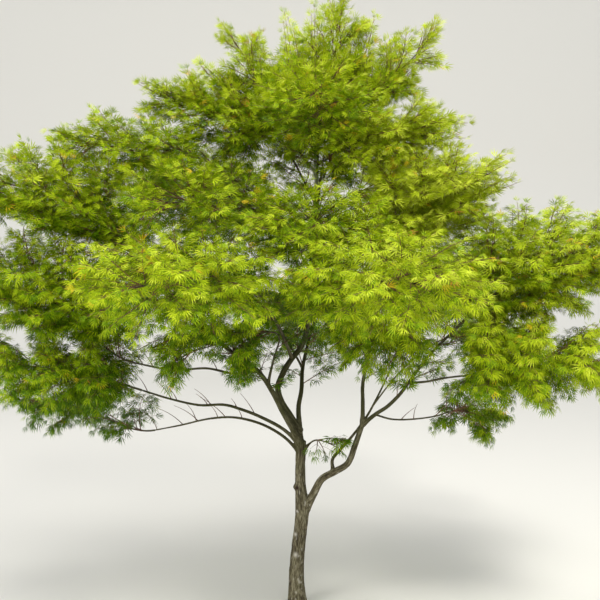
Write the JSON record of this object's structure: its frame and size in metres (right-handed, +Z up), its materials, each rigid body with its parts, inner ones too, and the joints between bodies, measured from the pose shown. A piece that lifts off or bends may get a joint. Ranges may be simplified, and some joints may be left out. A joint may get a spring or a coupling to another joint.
{
  "type": "japanese maple tree",
  "caption": "Young japanese maple: a short leaning trunk forks low into spreading boughs that carry a wide, layered crown of narrow-lobed leaves under a rising top.",
  "frame": {"origin": "middle of the flat cut under the trunk, at ground level", "axes": "+Z up; +Y away from the viewer, towards the back of the crown; +X to the viewer's right"},
  "size_m": [2.5695, 2.3808, 2.444],
  "materials": {
    "bark": "rough grey-brown bark",
    "leaves": "thin matte yellow-green leaves on fine twigs"
  },
  "bodies": {
    "root": {"bough_back_left": "bark", "bough_back_right": "bark", "bough_centre": "bark", "bough_fork": "bark", "bough_front_centre": "bark", "bough_front_left": "bark", "bough_front_right": "bark", "bough_high_far_left": "bark", "bough_high_left": "bark", "bough_high_right": "bark", "bough_inner_left": "bark", "bough_inner_low_left": "bark", "bough_inner_right": "bark", "bough_left_lower": "bark", "bough_left_middle": "bark", "bough_left_upper": "bark", "bough_left_upright": "bark", "bough_right": "bark", "bough_right_back": "bark", "bough_right_front": "bark", "bough_right_low": "bark", "bough_right_outer": "bark", "bough_right_upright": "bark", "bough_top_back": "bark", "bough_top_front": "bark", "bough_top_left": "bark", "bough_top_right": "bark", "bough_upper_back_left": "bark", "bough_upper_back_right": "bark", "leader": "bark", "leaves_back_left": "leaves", "leaves_back_right": "leaves", "leaves_fork": "leaves", "leaves_front_centre": "leaves", "leaves_front_left": "leaves", "leaves_front_right": "leaves", "leaves_high_far_left": "leaves", "leaves_high_left": "leaves", "leaves_high_right": "leaves", "leaves_inner_left": "leaves", "leaves_inner_low_left": "leaves", "leaves_inner_right": "leaves", "leaves_left": "leaves", "leaves_low_back": "leaves", "leaves_low_back_left": "leaves", "leaves_low_back_right": "leaves", "leaves_low_hanging": "leaves", "leaves_low_left": "leaves", "leaves_low_right": "leaves", "leaves_right": "leaves", "leaves_top": "leaves", "leaves_top_back": "leaves", "leaves_top_front": "leaves", "leaves_top_left": "leaves", "leaves_top_right": "leaves", "leaves_upper_back_left": "leaves", "leaves_upper_back_right": "leaves", "leaves_upper_left": "leaves", "leaves_upper_right": "leaves", "trunk": "bark"}
  },
  "joints": []
}
